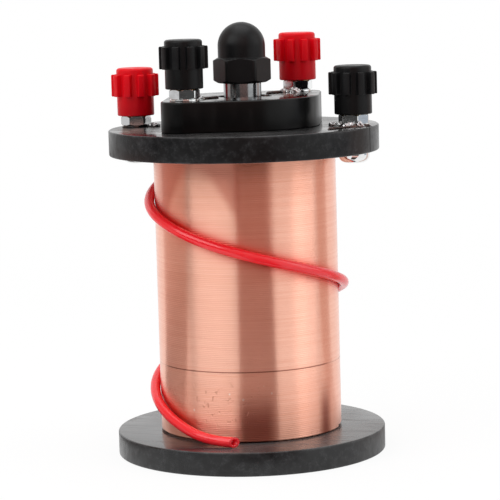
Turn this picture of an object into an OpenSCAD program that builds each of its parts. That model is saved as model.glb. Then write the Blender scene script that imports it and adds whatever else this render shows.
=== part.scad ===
// Demountable classroom induction coil: a secondary coil on a flanged bobbin, a primary
// coil that hangs in it by its cap, and a soft-iron core that drops into the primary.
// The origin is the middle of the base's underside, with +Z up.

/* [Bobbin] */
// Diameter of both flanges
flange_d = 80; // [72:0.5:100]
// Thickness of the base flange
base_t = 7; // [4:0.1:12]
// Thickness of the top flange
top_t = 7.5; // [5:0.1:12]
// Bevel on the flanges' edges
flange_bevel = 0.4; // [0.1:0.05:1]
// Height of the winding space between the flanges
winding_h = 82.5; // [60:0.5:110]
// Bore of the bobbin tube, which takes the primary
bobbin_bore = 34; // [33:0.1:38]
// Wall of the bobbin tube
bobbin_wall = 1.5; // [1:0.1:3]

/* [Secondary winding] */
// Outside diameter of the winding
winding_d = 54; // [48:0.1:58]
// Turns drawn in the outer layer
turns = 24; // [8:1:24]
// Space between neighbouring turns
turn_gap = 0.5; // [0.45:0.05:1]
// Thickness of the outer layer
turn_t = 1; // [0.8:0.05:2]
// Bevel on the outer edges of a turn
turn_bevel = 0.3; // [0.1:0.05:0.4]
// Space between the outer layer and the flanges
turn_end_gap = 0.3; // [0.2:0.05:1]

/* [Direction sleeve] */
// Outside diameter of the sleeve
sleeve_d = 3; // [2:0.1:4]
// Bore of the sleeve
sleeve_bore = 1.6; // [1:0.1:1.8]
// Space between the sleeve and the winding
sleeve_gap = 0.4; // [0.35:0.05:1]

/* [Primary] */
// Thickness of the cap
cap_t = 9; // [7:0.1:14]
// Radius of the cap's round middle
cap_mid_r = 22.6; // [19:0.1:24]
// Radius of the cap's two ends
cap_end_r = 7; // [6.5:0.1:9]
// Direction of the cap's long axis, from the line of the outer posts
cap_angle = 61; // [50:1:130]
// Distance from the coil's axis to the posts on the cap
inner_post_reach = 23.3; // [21:0.1:26]
// Outside diameter of the primary winding
primary_d = 31; // [24:0.1:32]
// Length of the primary below its cap
primary_length = 94; // [60:0.5:96]
// Wall of the primary's tube
primary_wall = 1.6; // [1:0.1:3]
// Thickness of the end collar
collar_t = 3; // [2:0.1:6]
// Depth of the cap's socket for the primary's tube
socket_depth = 6; // [3:0.1:6.5]

/* [Core] */
// Diameter of the iron rod
core_d = 11.2; // [9:0.1:13]
// Rod that shows between the cap and the knob
core_show = 4; // [1:0.1:10]
// Width of the knob's hexagon across its flats
hex_af = 15; // [14:0.1:18]
// Height of the hexagon
hex_h = 7.4; // [5:0.1:12]
// Bevel on the hexagon's corners
hex_bevel = 0.7; // [0.2:0.05:1]
// Turn of the hexagon about its axis
hex_turn = 14; // [0:1:59]
// Diameter of the dome
dome_d = 14; // [12:0.1:14.5]
// Height of the dome's straight part
dome_straight = 3.4; // [1:0.1:8]
// Diameter of the rod's reduced end in the knob
spigot_d = 8; // [5:0.1:8.8]
// Length of the rod's reduced end
spigot_h = 9; // [5:0.1:11]

/* [Binding posts] */
// Distance from the coil's axis to the posts on the top flange
outer_post_reach = 33.6; // [32:0.1:34.5]
// Diameter of the screws
stud_d = 5; // [4:0.1:5.5]
// Diameter of the screw heads
head_d = 9.2; // [8:0.1:10]
// Height of the screw heads
head_h = 3.6; // [2.5:0.1:4]
// Width of the screw heads' cross recess
recess_w = 1.1; // [0.6:0.05:1.5]
// Depth of the cross recess
recess_depth = 1.8; // [1:0.1:2]
// Length of screw above the nut
stud_show = 9; // [7:0.1:9.5]
// Width of the nuts across their flats
nut_af = 8; // [7:0.1:9]
// Height of the nuts
nut_h = 3; // [2:0.1:5]
// Bevel on the nuts' corners
nut_bevel = 0.4; // [0.1:0.05:0.5]
// Thickness of the solder lugs
lug_t = 0.5; // [0.3:0.05:1]
// Diameter of the lugs' rings
lug_d = 8.6; // [7.6:0.1:10]
// Width of the lugs' tongues
tongue_w = 3; // [2:0.1:4]
// Length of the tongues beyond the nuts' corners
tongue_length = 2.9; // [2:0.1:4.5]
// Diameter of the winding leads
lead_d = 0.9; // [0.5:0.05:1.2]
// Radius of the leads' bend, at the middle of the wire
lead_bend = 0.9; // [0.7:0.05:1]
// Radius of the solder on the lugs
solder_r = 1.2; // [0.8:0.05:1.4]
// Space from a tongue's side to the lead of the secondary
lead_stand_off = 0.8; // [0.6:0.1:2.4]
// Space from the primary's tube to the leads of the primary
lead_inset = 2.6; // [1.5:0.1:4]

/* [Knobs] */
// Diameter of a knob's body
knob_d = 11; // [10.5:0.1:12]
// Height of a knob
knob_h = 14.2; // [13:0.1:18]
// Radius on a knob's top edge
knob_round = 0.7; // [0.2:0.05:1.2]
// Height of the plain skirt under the ribs
skirt_h = 5.8; // [3:0.1:7]
// Height of the ribs
rib_h = 6.5; // [4:0.1:6.8]
// Diameter across the ribs
rib_d = 14.2; // [12.5:0.1:15]
// Width of a rib
rib_w = 1.9; // [1:0.1:2.4]
// Number of ribs
ribs = 10; // [6:2:12]
// Diameter of the thread insert
insert_d = 8; // [7:0.1:8.4]
// Height of the thread insert
insert_h = 10.5; // [10:0.1:11.5]

/* [Clearances] */
// Space round a piece that slides out, on each side
slide_gap = 0.3; // [0.2:0.05:0.6]
// Space round a piece that turns, on each side
running_gap = 0.05; // [0.02:0.01:0.1]
// Space round a piece that is fixed in a hole, on each side
fixed_gap = 0.05; // [0.02:0.01:0.2]
// Space round a screw or lead in a drilled hole, on each side
hole_gap = 0.2; // [0.1:0.05:0.5]

/* [Hidden] */
$fn = 96;

// Colours
board_black = "#242426";
cap_black = "#161618";
copper = "#b06a45";
plated = "#b9babc";
enamel = "#5a2b1c";
tube_buff = "#9a8a66";
iron_grey = "#85878a";
brass_yellow = "#b9953f";
knob_red = "#c4161c";
knob_black = "#1b1b1d";
sleeve_red = "#d0201f";

// Levels
top_under = base_t + winding_h;
top_seat = top_under + top_t;
cap_seat = top_seat + cap_t;
primary_bottom = top_seat - primary_length;
core_bottom = primary_bottom + collar_t;
core_knob_bottom = cap_seat + core_show;
clamp_h = lug_t + nut_h;

// Radii of the nested tubes and windings, from the axis outwards
core_bore_r = core_d / 2 + slide_gap;
primary_tube_r = core_bore_r + primary_wall;
bobbin_bore_r = bobbin_bore / 2;
bobbin_r = bobbin_bore_r + bobbin_wall;
collar_r = bobbin_bore_r - slide_gap;
outer_turn_r = winding_d / 2;
inner_turn_r = outer_turn_r - turn_t;

// Turns of the outer layer
rings_per_turn = 24;
turn_pitch = (winding_h - 2 * turn_end_gap + turn_gap) / (turns + 1);
turn_w = turn_pitch - turn_gap;
turn_rings = turns * rings_per_turn;
turn_start = top_under - turn_end_gap - turn_w / 2;
layers_r = inner_turn_r * cos(180 / rings_per_turn) - turn_end_gap;

// Posts: direction, reach, level of the seat, grip of the screw, turn of the nut and of the ribs
head_sink = head_h + hole_gap;
outer_red = [180, outer_post_reach, top_seat, top_t, 23, 17];
outer_black = [0, outer_post_reach, top_seat, top_t, 59, 17];
inner_red = [cap_angle, inner_post_reach, cap_seat, cap_t - head_sink, 29, 28];
inner_black = [cap_angle + 180, inner_post_reach, cap_seat, cap_t - head_sink, 29, 28];
outer_posts = [outer_red, outer_black];
inner_posts = [inner_red, inner_black];

// End of a lug's tongue, the solder on it and the holes where the leads come up, from the post's axis
nut_corner_r = hex_corner_r(nut_af);
tongue_end = nut_corner_r + tongue_length;
lug_bead = [-nut_corner_r - hole_gap - solder_r, 0];
secondary_lead_hole = lug_bead - [0, tongue_w / 2 + lead_stand_off + lead_d / 2];
primary_lead_hole = [primary_tube_r + lead_inset - inner_post_reach, 0];

// Route of the sleeve: direction, distance out from the winding, height above the base
sleeve_stations = [
    [143, 0, 82.4], [143, 0, 79.4], [146, 0, 77.4], [152, 0, 75.7], [160, 0, 74.3],
    [180, 0, 71.3], [225, 0, 64.5], [270, 0, 57.4], [315, 0, 51.1], [360, 0, 44.9],
    [405, 0, 38.4], [450, 0, 31.2], [495, 0, 23.5], [540, 0, 15.6], [570, 0.05, 10.4],
    [600, 0.9, 5.2], [618, 2.6, 2.7], [630, 3.7, 1.8], [638, 4.3, 1.6]
];
sleeve_steps = 3;
sleeve_sides = 8;
sleeve_hug_r = outer_turn_r + sleeve_gap + sleeve_d / 2;

// Flats that stand for each round stretch of the cap's outline
arc_steps = 24;

// General helpers

function unit(v) = v / norm(v);

function polar(angle, r, z) = [r * cos(angle), r * sin(angle), z];

// Joins rings of equal length into the side of a tube, as triangles
function skin(rings, sides, first) = [
    for (i = [0 : rings - 2], s = [0 : sides - 1])
        let (
            a = first + i * sides + s,
            b = first + i * sides + (s + 1) % sides
        )
        each [[a, b, b + sides], [a, b + sides, a + sides]]
];

function flipped(faces) = [for (f = faces) [f[2], f[1], f[0]]];

module tube(outer_r, inner_r, h) {
    rotate_extrude()
        translate([inner_r, 0])
            square([outer_r - inner_r, h]);
}

function hex_corner_r(af) = af / 2 / cos(30);

// Hexagonal prism with its corners bevelled at both ends
module hex_block(af, h, bevel) {
    corner_r = hex_corner_r(af);
    intersection() {
        cylinder(r = corner_r, h = h, $fn = 6);
        rotate_extrude()
            polygon([
                [0, 0], [corner_r - bevel, 0], [corner_r, bevel],
                [corner_r, h - bevel], [corner_r - bevel, h], [0, h]
            ]);
    }
}

// Puts its children on a post: x points away from the coil's axis, z = 0 is the seat
module on_post(post) {
    rotate(post[0])
        translate([post[1], 0, post[2]])
            children();
}

// Bobbin

module flange_plate(t) {
    r = flange_d / 2;
    bore_r = bobbin_r + fixed_gap;
    rotate_extrude()
        polygon([
            [bore_r, 0], [r - flange_bevel, 0], [r, flange_bevel],
            [r, t - flange_bevel], [r - flange_bevel, t], [bore_r, t]
        ]);
}

module base_flange() {
    color(board_black)
        flange_plate(base_t);
}

module top_flange() {
    color(board_black)
        difference() {
            translate([0, 0, top_under])
                flange_plate(top_t);
            for (post = outer_posts)
                on_post(post) {
                    drilled_hole(stud_d, top_t);
                    translate(secondary_lead_hole)
                        drilled_hole(lead_d, top_t);
                }
        }
}

// Hole down from z = 0 through a plate
module drilled_hole(d, plate_t) {
    translate([0, 0, -plate_t - 1])
        cylinder(r = d / 2 + hole_gap, h = plate_t + 2);
}

module bobbin_tube() {
    color(tube_buff)
        tube(bobbin_r, bobbin_bore_r, top_seat);
}

// Secondary winding

module secondary_inner_layers() {
    color(copper)
        translate([0, 0, base_t])
            tube(layers_r, bobbin_r + fixed_gap, winding_h);
}

// Section of one turn: distance from the axis, and height from the turn's middle
turn_section = [
    [inner_turn_r, -turn_w / 2],
    [outer_turn_r - turn_bevel, -turn_w / 2],
    [outer_turn_r, turn_bevel - turn_w / 2],
    [outer_turn_r, turn_w / 2 - turn_bevel],
    [outer_turn_r - turn_bevel, turn_w / 2],
    [inner_turn_r, turn_w / 2]
];
turn_sides = len(turn_section);

function turn_angle(i) = i * 360 / rings_per_turn;

function turn_ring(i) = [
    for (p = turn_section)
        polar(turn_angle(i), p.x, turn_start + p.y - turn_pitch * i / rings_per_turn)
];

// Straight run of one turn's width at an end of the wire
function turn_run(i, way) =
    let (step = way * turn_w * [-sin(turn_angle(i)), cos(turn_angle(i)), 0])
    [for (p = turn_ring(i)) p + step];

turn_points = [
    each turn_run(0, -1),
    for (i = [0 : turn_rings]) each turn_ring(i),
    each turn_run(turn_rings, 1)
];

// Least distance from the points of each ring to those of the next turn's rings near it
least_turn_gap = min([
    for (i = [0 : turn_rings - rings_per_turn], near = [-1 : 1])
        let (j = min(i + rings_per_turn + near, turn_rings))
        for (p = turn_ring(i), q = turn_ring(j))
            norm(p - q)
]);
echo("least gap between turns", least_turn_gap);

module secondary_outer_layer() {
    rings = turn_rings + 3;
    last = (rings - 1) * turn_sides;
    start_cap = [for (s = [1 : turn_sides - 2]) [0, s + 1, s]];
    end_cap = [for (s = [1 : turn_sides - 2]) [last, last + s, last + s + 1]];
    color(copper)
        polyhedron(turn_points, flipped(concat(skin(rings, turn_sides, 0), start_cap, end_cap)));
}

// Direction sleeve

function blend(a, b, c, d, t) =
    0.5 * (2 * b + (c - a) * t + (2 * a - 5 * b + 4 * c - d) * t ^ 2
        + (3 * b - a - 3 * c + d) * t ^ 3);

function station(i) =
    let (n = len(sleeve_stations) - 1)
    i < 0 ? 2 * sleeve_stations[0] - sleeve_stations[1] :
    i > n ? 2 * sleeve_stations[n] - sleeve_stations[n - 1] :
    sleeve_stations[i];

function sleeve_point(i, t) =
    let (s = blend(station(i - 1), station(i), station(i + 1), station(i + 2), t))
    polar(s[0], sleeve_hug_r + s[1], base_t + s[2]);

sleeve_route = [
    for (i = [0 : len(sleeve_stations) - 2], k = [0 : sleeve_steps - 1])
        sleeve_point(i, k / sleeve_steps),
    sleeve_point(len(sleeve_stations) - 2, 1)
];
sleeve_rings = len(sleeve_route);

function sleeve_ring(i, r) =
    let (
        p = sleeve_route[i],
        ahead = sleeve_route[min(i + 1, sleeve_rings - 1)],
        behind = sleeve_route[max(i - 1, 0)],
        along = unit(ahead - behind),
        out = [p.x, p.y, 0],
        side = unit(out - (out * along) * along),
        up = cross(along, side)
    )
    [
        for (s = [0 : sleeve_sides - 1])
            let (a = (s + 0.5) * 360 / sleeve_sides)
            p + r * (cos(a) * side + sin(a) * up)
    ];

module direction_sleeve() {
    wall_points = [
        for (r = [sleeve_d / 2, sleeve_bore / 2], i = [0 : sleeve_rings - 1])
            each sleeve_ring(i, r)
    ];
    bore_first = sleeve_rings * sleeve_sides;
    last = bore_first - sleeve_sides;
    ends = [
        for (s = [0 : sleeve_sides - 1])
            let (next = (s + 1) % sleeve_sides)
            each [
                [s, bore_first + s, bore_first + next],
                [s, bore_first + next, next],
                [last + s, last + next, bore_first + last + next],
                [last + s, bore_first + last + next, bore_first + last + s]
            ]
    ];
    color(sleeve_red)
        polyhedron(
            wall_points,
            flipped(concat(
                skin(sleeve_rings, sleeve_sides, 0),
                flipped(skin(sleeve_rings, sleeve_sides, bore_first)),
                ends
            ))
        );
}

// Binding posts

module post_screw(grip) {
    flat_r = head_d / 4;
    rim_h = head_h / 4;
    arc = [
        for (a = [0 : 15 : 90])
            [
                flat_r + (head_d / 2 - flat_r) * cos(a),
                -rim_h - (head_h - rim_h) * sin(a)
            ]
    ];
    difference() {
        translate([0, 0, -grip])
            union() {
                cylinder(d = stud_d, h = grip + clamp_h + stud_show);
                rotate_extrude()
                    polygon(concat([[0, -head_h], [0, 0], [head_d / 2, 0]], arc));
            }
        for (a = [0, 90])
            rotate(a)
                translate([-head_d / 4, -recess_w / 2, -grip - head_h - 1])
                    cube([head_d / 2, recess_w, recess_depth + 1]);
    }
}

module solder_lug() {
    difference() {
        union() {
            cylinder(d = lug_d, h = lug_t);
            translate([tongue_w / 2 - tongue_end, -tongue_w / 2, 0])
                cube([tongue_end - tongue_w / 2, tongue_w, lug_t]);
            translate([tongue_w / 2 - tongue_end, 0, 0])
                cylinder(d = tongue_w, h = lug_t);
        }
        translate([0, 0, -1])
            cylinder(r = stud_d / 2 + hole_gap, h = lug_t + 2);
    }
}

module hex_nut() {
    translate([0, 0, lug_t])
        difference() {
            hex_block(nut_af, nut_h, nut_bevel);
            translate([0, 0, -1])
                cylinder(r = stud_d / 2 + fixed_gap, h = nut_h + 2);
        }
}

// Lead up out of its hole, round a bend and on to the tongue, where a bead of solder holds it.
// hole is the place of the lead's hole, from the post's axis.
module winding_lead(post, hole, plate_t) {
    run = lug_bead - hole;
    run_z = lug_t + lead_d / 2 + fixed_gap;
    on_post(post) {
        translate(hole)
            rotate(atan2(run.y, run.x)) {
                translate([0, 0, -plate_t])
                    cylinder(d = lead_d, h = plate_t + run_z - lead_bend);
                translate([lead_bend, 0, run_z - lead_bend])
                    rotate([90, 0, 180])
                        rotate_extrude(angle = 90)
                            translate([lead_bend, 0])
                                circle(d = lead_d);
                translate([lead_bend, 0, run_z])
                    rotate([0, 90, 0])
                        cylinder(d = lead_d, h = norm(run) - lead_bend);
            }
        translate([lug_bead.x, lug_bead.y, lug_t])
            intersection() {
                sphere(r = solder_r);
                cylinder(r = 2 * solder_r, h = 2 * solder_r);
            }
    }
}

module thread_insert() {
    translate([0, 0, clamp_h])
        tube(insert_d / 2, stud_d / 2 + running_gap, insert_h);
}

module post_knob(rib_turn) {
    r = knob_d / 2;
    arc = [
        for (a = [0 : 15 : 90])
            [r - knob_round * (1 - cos(a)), knob_h - knob_round * (1 - sin(a))]
    ];
    translate([0, 0, clamp_h])
        difference() {
            union() {
                rotate_extrude()
                    polygon(concat([[0, 0], [r, 0]], arc, [[0, knob_h]]));
                translate([0, 0, skirt_h])
                    intersection() {
                        cylinder(d = rib_d, h = rib_h);
                        for (i = [0 : ribs - 1])
                            rotate(rib_turn + i * 360 / ribs)
                                translate([insert_d / 2, -rib_w / 2, 0])
                                    cube([rib_d / 2, rib_w, rib_h]);
                    }
            }
            translate([0, 0, -1])
                cylinder(r = insert_d / 2 + running_gap, h = insert_h + 1);
        }
}

module outer_post_screws() {
    color(plated)
        for (post = outer_posts)
            on_post(post)
                post_screw(post[3]);
}

module outer_solder_lugs() {
    color(plated)
        for (post = outer_posts)
            on_post(post)
                solder_lug();
}

module outer_hex_nuts() {
    color(plated)
        for (post = outer_posts)
            on_post(post)
                rotate(post[4])
                    hex_nut();
}

module secondary_leads() {
    color(enamel)
        for (post = outer_posts)
            winding_lead(post, secondary_lead_hole, top_t);
}

module inner_post_screws() {
    color(plated)
        for (post = inner_posts)
            on_post(post)
                post_screw(post[3]);
}

module inner_solder_lugs() {
    color(plated)
        for (post = inner_posts)
            on_post(post)
                solder_lug();
}

module inner_hex_nuts() {
    color(plated)
        for (post = inner_posts)
            on_post(post)
                rotate(post[4])
                    hex_nut();
}

module primary_leads() {
    color(enamel)
        for (post = inner_posts)
            winding_lead(post, primary_lead_hole, cap_t);
}

module outer_red_insert() {
    color(brass_yellow)
        on_post(outer_red)
            thread_insert();
}

module outer_black_insert() {
    color(brass_yellow)
        on_post(outer_black)
            thread_insert();
}

module inner_red_insert() {
    color(brass_yellow)
        on_post(inner_red)
            thread_insert();
}

module inner_black_insert() {
    color(brass_yellow)
        on_post(inner_black)
            thread_insert();
}

module outer_red_knob() {
    color(knob_red)
        on_post(outer_red)
            post_knob(outer_red[5]);
}

module outer_black_knob() {
    color(knob_black)
        on_post(outer_black)
            post_knob(outer_black[5]);
}

module inner_red_knob() {
    color(knob_red)
        on_post(inner_red)
            post_knob(inner_red[5]);
}

module inner_black_knob() {
    color(knob_black)
        on_post(inner_black)
            post_knob(inner_black[5]);
}

// Primary

function arc(centre, r, from, to) = [
    for (i = [0 : arc_steps])
        let (a = from + (to - from) * i / arc_steps)
        centre + r * [cos(a), sin(a)]
];

// Round middle and two round ends, joined by their common tangents
module cap_outline() {
    lean = acos((cap_mid_r - cap_end_r) / inner_post_reach);
    polygon([
        each arc([inner_post_reach, 0], cap_end_r, -lean, lean),
        each arc([0, 0], cap_mid_r, lean, 180 - lean),
        each arc([-inner_post_reach, 0], cap_end_r, 180 - lean, 180 + lean),
        each arc([0, 0], cap_mid_r, 180 + lean, 360 - lean)
    ]);
}

module primary_cap() {
    color(cap_black)
        difference() {
            translate([0, 0, top_seat])
                rotate(cap_angle)
                    linear_extrude(cap_t)
                        cap_outline();
            translate([0, 0, top_seat - 1])
                cylinder(r = core_bore_r, h = cap_t + 2);
            translate([0, 0, top_seat - 1])
                cylinder(r = primary_tube_r + fixed_gap, h = socket_depth + 1);
            for (post = inner_posts)
                on_post(post) {
                    drilled_hole(stud_d, cap_t);
                    translate([0, 0, -cap_t - 1])
                        cylinder(r = head_d / 2 + hole_gap, h = head_sink + 1);
                    translate(primary_lead_hole)
                        drilled_hole(lead_d, cap_t);
                }
        }
}

module primary_tube() {
    color(tube_buff)
        translate([0, 0, core_bottom])
            tube(primary_tube_r, core_bore_r, top_seat + socket_depth - core_bottom);
}

module primary_winding() {
    color(copper)
        translate([0, 0, core_bottom])
            tube(primary_d / 2, primary_tube_r + fixed_gap, top_seat - core_bottom);
}

module primary_end_collar() {
    color(tube_buff)
        translate([0, 0, primary_bottom])
            cylinder(r = collar_r, h = collar_t);
}

// Core

module iron_core() {
    color(iron_grey)
        union() {
            translate([0, 0, core_bottom])
                cylinder(d = core_d, h = core_knob_bottom - core_bottom);
            translate([0, 0, core_knob_bottom - 1])
                cylinder(d = spigot_d, h = spigot_h + 1);
        }
}

module core_knob() {
    color(knob_black)
        translate([0, 0, core_knob_bottom])
            difference() {
                union() {
                    rotate(hex_turn)
                        hex_block(hex_af, hex_h, hex_bevel);
                    translate([0, 0, hex_h - 1])
                        cylinder(d = dome_d, h = dome_straight + 1);
                    translate([0, 0, hex_h + dome_straight])
                        sphere(d = dome_d);
                }
                translate([0, 0, -1])
                    cylinder(r = spigot_d / 2 + fixed_gap, h = spigot_h + 1);
            }
}

base_flange();
top_flange();
bobbin_tube();
secondary_inner_layers();
secondary_outer_layer();
direction_sleeve();
outer_post_screws();
outer_solder_lugs();
outer_hex_nuts();
secondary_leads();
primary_cap();
primary_tube();
primary_winding();
primary_end_collar();
inner_post_screws();
inner_solder_lugs();
inner_hex_nuts();
primary_leads();
iron_core();
core_knob();
outer_red_insert();
outer_black_insert();
inner_red_insert();
inner_black_insert();
outer_red_knob();
outer_black_knob();
inner_red_knob();
inner_black_knob();
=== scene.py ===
import math

import bpy
import numpy as np
from mathutils import Matrix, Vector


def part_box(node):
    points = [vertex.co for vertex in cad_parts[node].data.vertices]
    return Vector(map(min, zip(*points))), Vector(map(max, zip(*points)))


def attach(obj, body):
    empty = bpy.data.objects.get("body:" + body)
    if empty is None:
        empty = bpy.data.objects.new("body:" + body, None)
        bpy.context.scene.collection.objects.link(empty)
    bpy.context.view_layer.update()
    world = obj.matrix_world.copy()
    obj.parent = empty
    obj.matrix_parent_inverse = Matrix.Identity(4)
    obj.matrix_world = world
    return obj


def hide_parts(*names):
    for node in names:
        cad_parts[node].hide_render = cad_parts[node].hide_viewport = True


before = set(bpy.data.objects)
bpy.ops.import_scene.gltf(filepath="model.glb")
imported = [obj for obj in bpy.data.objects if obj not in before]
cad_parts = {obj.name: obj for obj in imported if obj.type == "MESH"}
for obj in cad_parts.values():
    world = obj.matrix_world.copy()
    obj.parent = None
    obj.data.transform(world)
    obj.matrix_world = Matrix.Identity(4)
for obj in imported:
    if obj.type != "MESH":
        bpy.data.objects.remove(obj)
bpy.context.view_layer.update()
mm = 0.001
degree = math.pi / 180
print("frame loaded,", len(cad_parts), "nodes")


# Camera

cameraPlan = {
    "place": (0.0, -0.69869, 0.14902),  # in the photograph's own frame, in metres
    "pitch": 0.1267,                    # down from level, in radians
    "yaw": 0.0013,
    "roll": -0.0277,
    "lens": 170.146,                    # in mm, as is the sensor
    "sensor": 36.0,
    "nearest": 0.01,                    # nothing closer is drawn
    "frameTurn": 17.0,                  # degrees from the photograph's frame to the part's
}


def addObject(name, data):
    # a new object at the origin, unturned and unscaled
    thing = bpy.data.objects.new(name, data)
    bpy.context.scene.collection.objects.link(thing)
    return thing


def placeCamera(plan):
    # from the camera's own axes outwards: roll, tip up from straight down, yaw, move, turn with the frame
    lens = bpy.data.cameras.new("camera")
    lens.lens = plan["lens"]
    lens.sensor_width = plan["sensor"]
    lens.clip_start = plan["nearest"]
    roll = Matrix.Rotation(plan["roll"], 4, "Z")
    tip = Matrix.Rotation(math.pi / 2 - plan["pitch"], 4, "X")
    yaw = Matrix.Rotation(-plan["yaw"], 4, "Z")
    turn = Matrix.Rotation(math.radians(plan["frameTurn"]), 4, "Z")
    camera = addObject("camera", lens)
    camera.matrix_world = turn @ Matrix.Translation(plan["place"]) @ yaw @ tip @ roll
    bpy.context.scene.camera = camera


placeCamera(cameraPlan)
print("camera placed")


# Shapes: points in mm, quads and triangles

def unit(vectors):
    # each vector over its own length
    return vectors / np.linalg.norm(vectors, axis=-1, keepdims=True)


def gridShape(points, wrapRows=False):
    # points is rows x columns x 3 and the columns go right round; quads join neighbours; the rows go right
    # round too, or else the first and the last are each closed by a fan to the row's middle
    rows, columns = points.shape[:2]
    index = np.arange(rows * columns).reshape(rows, columns)
    below = index if wrapRows else index[:-1]
    above = np.roll(index, -1, axis=0) if wrapRows else index[1:]
    quads = np.stack([below, np.roll(below, -1, 1), np.roll(above, -1, 1), above], -1).reshape(-1, 4)
    verts = points.reshape(-1, 3)
    tris = np.empty((0, 3), int)
    if not wrapRows:
        for ring, way in ((index[0], -1), (index[-1], 1)):
            middle = np.full(columns, len(verts))
            verts = np.vstack([verts, verts[ring].mean(axis=0)])
            fan = np.stack([ring, np.roll(ring, -1), middle], -1)[:, ::way]
            tris = np.vstack([tris, fan])
    return facingOut((verts, quads, tris))


def facingOut(shape):
    # a closed shape's volume is the sum of its triangles' triple products; below zero it is inside out
    verts, quads, tris = shape
    corners = np.vstack([quads[:, [0, 1, 2]], quads[:, [0, 2, 3]], tris])
    a, b, c = (verts[corners[:, k]] - verts.mean(axis=0) for k in range(3))
    if np.einsum("ij,ij->", a, np.cross(b, c)) < 0:
        return verts, quads[:, ::-1], tris[:, ::-1]
    return shape


def joined(shapes):
    # the shapes side by side in one, with each one's faces counted on from the last
    starts = np.cumsum([0] + [len(s[0]) for s in shapes])
    verts = np.vstack([s[0] for s in shapes])
    quads = np.vstack([s[1] + n for s, n in zip(shapes, starts)])
    tris = np.vstack([s[2] + n for s, n in zip(shapes, starts)])
    return verts, quads, tris


def turned(points, degrees, centre=(0, 0, 0)):
    # points turned about an upright axis at the origin, then moved to centre
    c = math.cos(math.radians(degrees))
    s = math.sin(math.radians(degrees))
    turn = np.array([[c, s, 0], [-s, c, 0], [0, 0, 1]])
    return points @ turn + np.array(centre, float)


def turnedShape(shape, degrees, centre):
    # the same for a shape: its points are turned and moved, its faces stay
    return turned(shape[0], degrees, centre), shape[1], shape[2]


def easedSide(foot, brow, low, high, steps=6):
    # how far a side is drawn in, and its height: r (1 - sin a) and r (1 - cos a) over a quarter turn
    # for the foot's radius, and the two the other way round, down from the top, for the brow's
    quarter = np.linspace(0, np.pi / 2, steps)
    inset = np.concatenate([foot * (1 - np.sin(quarter)), brow * (1 - np.cos(quarter))])
    z = np.concatenate([low + foot * (1 - np.cos(quarter)), high - brow * (1 - np.sin(quarter))])
    return inset, z


def around(columns):
    # even steps of a full turn over columns, in radians
    return np.arange(columns) * 2 * np.pi / columns


def ringPoints(radius, z, angle):
    # (r cos a, r sin a, z), with the three spread over rows and columns
    radius, z, angle = np.broadcast_arrays(radius, z, angle)
    return np.stack([radius * np.cos(angle), radius * np.sin(angle), z], axis=-1)


def lathe(r, z, columns=192, wrapRows=False):
    # a profile's r and z turned right round the axis
    return gridShape(ringPoints(r[:, None], z[:, None], around(columns)), wrapRows)


def ringSolid(outer, inner, low, high, outerRound, innerRound=0.15, columns=192):
    # a washer's section with round corners, up its outside and down its bore, turned round the axis
    outside, rise = easedSide(outerRound, outerRound, low, high)
    bore, climb = easedSide(innerRound, innerRound, low, high)
    r = np.concatenate([outer - outside, inner + bore[::-1]])
    return lathe(r, np.concatenate([rise, climb[::-1]]), columns, wrapRows=True)


def discSolid(radius, low, high, edgeRound):
    # a side with both edges rounded, turned round the axis and closed in the middle
    inset, z = easedSide(edgeRound, edgeRound, low, high)
    return lathe(radius - inset, z)


def sweptTube(path, along, side, radius, sides=12):
    # a circle of that radius across each point of the path, spanned by side and along x side
    up = np.cross(along, side)
    angle = around(sides)[None, :, None]
    rings = path[:, None] + radius * (np.cos(angle) * side[:, None] + np.sin(angle) * up[:, None])
    return gridShape(rings)


def nodeSize(node):
    # radius, foot and top of a CAD node's box, in mm
    low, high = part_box(node)
    return high.x / mm, low.z / mm, high.z / mm


def makePiece(name, shape, finish, body, nodes, sharp=32):
    # the shape as a smooth mesh, with the edges sharp that turn by more than that many degrees
    verts, quads, tris = shape
    mesh = bpy.data.meshes.new(name)
    mesh.from_pydata((verts * mm).tolist(), [], quads.tolist() + tris.tolist())
    mesh.shade_smooth()
    mesh.set_sharp_from_angle(angle=math.radians(sharp))
    mesh.materials.append(finish)
    piece = addObject(name, mesh)
    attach(piece, body)
    if nodes:
        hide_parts(*nodes)
    return piece


def makeRing(name, node, finish, body, plan):
    # a ring as wide and high as the CAD node, with the plan's bore, round edges and columns
    radius, foot, top = nodeSize(node)
    edges = (plan["edgeRound"], plan["boreRound"])
    shape = ringSolid(radius, plan["bore"], foot, top, *edges, plan["columns"])
    makePiece(name, shape, finish, body, [node])


# Finishes

class Wire:
    # one output of a node; arithmetic on it adds Math nodes
    def __init__(self, finish, socket):
        self.finish = finish
        self.socket = socket

    def also(self, out):
        return Wire(self.finish, self.socket.node.outputs[out])

    def __add__(self, other):
        return self.finish.maths("ADD", self, other)

    def __sub__(self, other):
        return self.finish.maths("SUBTRACT", self, other)

    def __rsub__(self, other):
        return self.finish.maths("SUBTRACT", other, self)

    def __mul__(self, other):
        return self.finish.maths("MULTIPLY", self, other)

    __radd__ = __add__
    __rmul__ = __mul__


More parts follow.
